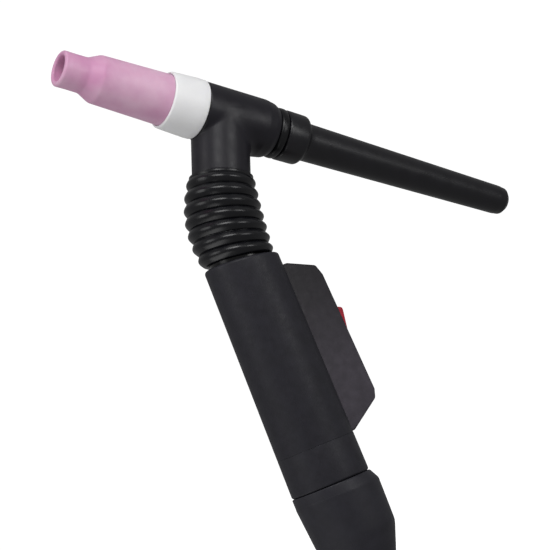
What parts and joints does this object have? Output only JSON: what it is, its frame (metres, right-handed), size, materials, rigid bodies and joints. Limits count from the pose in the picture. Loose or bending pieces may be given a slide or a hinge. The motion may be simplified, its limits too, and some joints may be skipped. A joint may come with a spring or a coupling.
{
  "type": "tig torch",
  "caption": "Hand-held flexible-neck TIG welding torch with ceramic gas nozzle, long back cap, corrugated neck and a trigger switch on the handle.",
  "frame": {"origin": "centre of the cable inlet's mouth at the rear end of the cable boot", "axes": "+Z along the handle towards the neck, +X towards the trigger and the back cap"},
  "size_m": [0.1642, 0.0318, 0.2241],
  "materials": {
    "handle_plastic": "fine grained matte black",
    "switch_plastic": "fine grained matte black",
    "head_rubber": "smooth semi-gloss black moulding",
    "bellows_rubber": "glossy black rubber",
    "boot_rubber": "satin black rubber",
    "cap_plastic": "semi-gloss black",
    "trigger_plastic": "glossy red",
    "alumina": "matte pink fired alumina",
    "ptfe": "waxy off-white",
    "brass": "turned",
    "copper": "turned copper alloy",
    "steel": "ground",
    "tungsten": "ground tungsten",
    "switch_black": "moulded",
    "tinned": "tinned",
    "lead_insulation": "grey sheathing",
    "o_ring": "satin black nitrile"
  },
  "bodies": {
    "handle": {"handle_tube": "handle_plastic", "handle_rear_collar": "handle_plastic", "cable_boot": "boot_rubber", "handle_nose": "handle_plastic", "conduit_socket": "brass", "power_adaptor": "brass", "switch_box": "switch_plastic", "switch_cover": "switch_plastic", "trigger_pin": "steel", "microswitch_body": "switch_black", "microswitch_brackets": "steel", "microswitch_terminals": "tinned", "switch_leads": "lead_insulation"},
    "trigger": {"trigger": "trigger_plastic"},
    "plunger": {"microswitch_plunger": "trigger_plastic"},
    "neck": {"neck_bellows": "bellows_rubber", "flex_conduit": "copper"},
    "head": {"head_core": "brass", "head_shell": "head_rubber", "neck_ferrule": "brass", "collet_body": "copper"},
    "cup_seat": {"nozzle_insulator": "ptfe"},
    "cup": {"nozzle": "alumina"},
    "collet": {"collet": "copper"},
    "electrode": {"tungsten_electrode": "tungsten"},
    "cap": {"back_cap": "cap_plastic", "back_cap_insert": "brass", "back_cap_o_ring": "o_ring"}
  },
  "joints": [
    {"name": "neck_pitch", "type": "hinge", "parent": "handle", "child": "neck", "pos_m": [0.00046, 0, 0.14255], "axis": [0, 1, 0], "range_deg": [-45, 20], "deforming": ["neck_bellows", "flex_conduit"]},
    {"name": "neck_yaw", "type": "hinge", "parent": "neck", "child": "head", "pos_m": [0.00354, 0, 0.15726], "axis": [0.9542, 0, -0.299], "range_deg": [-28, 28]},
    {"name": "trigger_press", "type": "hinge", "parent": "handle", "child": "trigger", "pos_m": [0.0233, 0, 0.0926], "axis": [0, -1, 0], "range_deg": [0, 5]},
    {"name": "plunger_press", "type": "slide", "parent": "handle", "child": "plunger", "axis": [-1, 0, 0], "range_m": [0, 0.00073], "stiffness_N_per_m": 600, "springref_m": -0.002},
    {"name": "cup_seat_slide", "type": "slide", "parent": "head", "child": "cup_seat", "axis": [-0.8499, 0, 0.527], "range_m": [0, 0.0045]},
    {"name": "nozzle_turn", "type": "hinge", "parent": "cup_seat", "child": "cup", "pos_m": [0.00002, 0, 0.19396], "axis": [-0.8499, 0, 0.527], "range_deg": [0, 1081]},
    {"name": "collet_slide", "type": "slide", "parent": "head", "child": "collet", "axis": [0.8499, 0, -0.527], "range_m": [0, 0.00381]},
    {"name": "back_cap_turn", "type": "hinge", "parent": "collet", "child": "cap", "pos_m": [0.03274, 0, 0.17368], "axis": [0.8499, 0, -0.527], "range_deg": [0, 1081]},
    {"name": "electrode_slide", "type": "slide", "parent": "collet", "child": "electrode", "axis": [-0.8499, 0, 0.527], "range_m": [0, 0.012]}
  ],
  "couplings": [
    {"joint": "trigger_press", "follows": "plunger_press", "rad_per_m": 119.05},
    {"joint": "nozzle_turn", "follows": "cup_seat_slide", "rad_per_m": 4188.8},
    {"joint": "back_cap_turn", "follows": "collet_slide", "rad_per_m": 4947.4}
  ]
}
